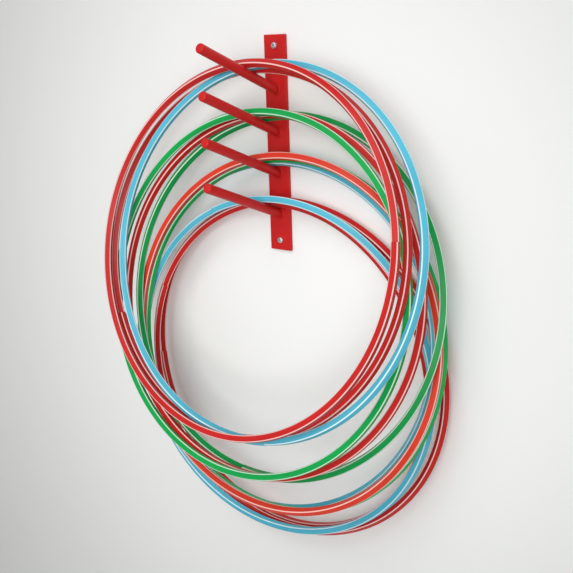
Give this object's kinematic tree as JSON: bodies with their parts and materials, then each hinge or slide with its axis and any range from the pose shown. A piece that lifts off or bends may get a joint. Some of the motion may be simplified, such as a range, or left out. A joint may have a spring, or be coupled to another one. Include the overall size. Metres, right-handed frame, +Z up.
{
  "type": "wall rack with gymnastics hoops",
  "caption": "Wall rack of sloping round pegs on a flat screwed-on bar, holding square-section plastic gymnastics hoops that turn on their pegs.",
  "frame": {"origin": "middle of the bar's back face, on the wall", "axes": "+Y into the wall, +Z up, +X to the right as seen from the room"},
  "size_m": [0.7534, 0.2601, 1.0108],
  "materials": {
    "rack_paint": "gloss red paint",
    "screw_steel": "plated steel",
    "plug_white": "plain moulded plastic",
    "red": "smooth extruded plastic",
    "orange_red": "smooth extruded plastic",
    "sky_blue": "smooth extruded plastic",
    "green": "smooth extruded plastic",
    "deep_green": "smooth extruded plastic"
  },
  "bodies": {
    "rack": {"wall_bar": "rack_paint", "peg_1": "rack_paint", "peg_2": "rack_paint", "peg_3": "rack_paint", "peg_4": "rack_paint", "screw_top": "screw_steel", "screw_bottom": "screw_steel"},
    "ring_1_outer": {"hoop_1_outer": "red", "plug_1_outer": "plug_white"},
    "ring_1_middle": {"hoop_1_middle": "sky_blue", "plug_1_middle": "plug_white"},
    "ring_1_inner": {"hoop_1_inner": "red", "plug_1_inner": "plug_white"},
    "ring_2_outer": {"hoop_2_outer": "green", "plug_2_outer": "plug_white"},
    "ring_2_middle": {"hoop_2_middle": "red", "plug_2_middle": "plug_white"},
    "ring_2_inner": {"hoop_2_inner": "deep_green", "plug_2_inner": "plug_white"},
    "ring_3_outer": {"hoop_3_outer": "orange_red", "plug_3_outer": "plug_white"},
    "ring_3_middle": {"hoop_3_middle": "sky_blue", "plug_3_middle": "plug_white"},
    "ring_3_inner": {"hoop_3_inner": "green", "plug_3_inner": "plug_white"},
    "ring_4_outer": {"hoop_4_outer": "sky_blue", "plug_4_outer": "plug_white"},
    "ring_4_middle": {"hoop_4_middle": "red", "plug_4_middle": "plug_white"},
    "ring_4_inner": {"hoop_4_inner": "red", "plug_4_inner": "plug_white"}
  },
  "joints": [
    {"name": "turn_1_outer", "type": "hinge", "parent": "rack", "child": "ring_1_outer", "pos_m": [0.01566, -0.17053, -0.17579], "axis": [-0.017, -0.9712, 0.2377], "continuous": true},
    {"name": "turn_1_middle", "type": "hinge", "parent": "rack", "child": "ring_1_middle", "pos_m": [0.05323, -0.15342, -0.17796], "axis": [0.0127, -0.9713, 0.2377], "continuous": true},
    {"name": "turn_1_inner", "type": "hinge", "parent": "rack", "child": "ring_1_inner", "pos_m": [0.0141, -0.1396, -0.18766], "axis": [0.017, -0.9712, 0.2377], "continuous": true},
    {"name": "turn_2_outer", "type": "hinge", "parent": "rack", "child": "ring_2_outer", "pos_m": [0.01684, -0.14079, -0.26619], "axis": [0.017, -0.9752, 0.2207], "continuous": true},
    {"name": "turn_2_middle", "type": "hinge", "parent": "rack", "child": "ring_2_middle", "pos_m": [0.03331, -0.12413, -0.27113], "axis": [0.0298, -0.9749, 0.2207], "continuous": true},
    {"name": "turn_2_inner", "type": "hinge", "parent": "rack", "child": "ring_2_inner", "pos_m": [0.05645, -0.10541, -0.27451], "axis": [0.0595, -0.9735, 0.2207], "continuous": true},
    {"name": "turn_3_outer", "type": "hinge", "parent": "rack", "child": "ring_3_outer", "pos_m": [0.05084, -0.10375, -0.35218], "axis": [0.056, -0.9854, 0.1607], "continuous": true},
    {"name": "turn_3_middle", "type": "hinge", "parent": "rack", "child": "ring_3_middle", "pos_m": [0.04966, -0.08693, -0.3588], "axis": [0.0603, -0.9852, 0.1607], "continuous": true},
    {"name": "turn_3_inner", "type": "hinge", "parent": "rack", "child": "ring_3_inner", "pos_m": [0.02255, -0.07352, -0.36776], "axis": [0.0774, -0.9832, 0.165], "continuous": true},
    {"name": "turn_4_outer", "type": "hinge", "parent": "rack", "child": "ring_4_outer", "pos_m": [0.0166, -0.06304, -0.44103], "axis": [0.0697, -0.9964, 0.048], "continuous": true},
    {"name": "turn_4_middle", "type": "hinge", "parent": "rack", "child": "ring_4_middle", "pos_m": [0.03353, -0.04517, -0.44608], "axis": [0.074, -0.9961, 0.048], "continuous": true},
    {"name": "turn_4_inner", "type": "hinge", "parent": "rack", "child": "ring_4_inner", "pos_m": [0.00279, -0.0239, -0.45428], "axis": [-0.0044, -0.9996, 0.0262], "continuous": true}
  ]
}
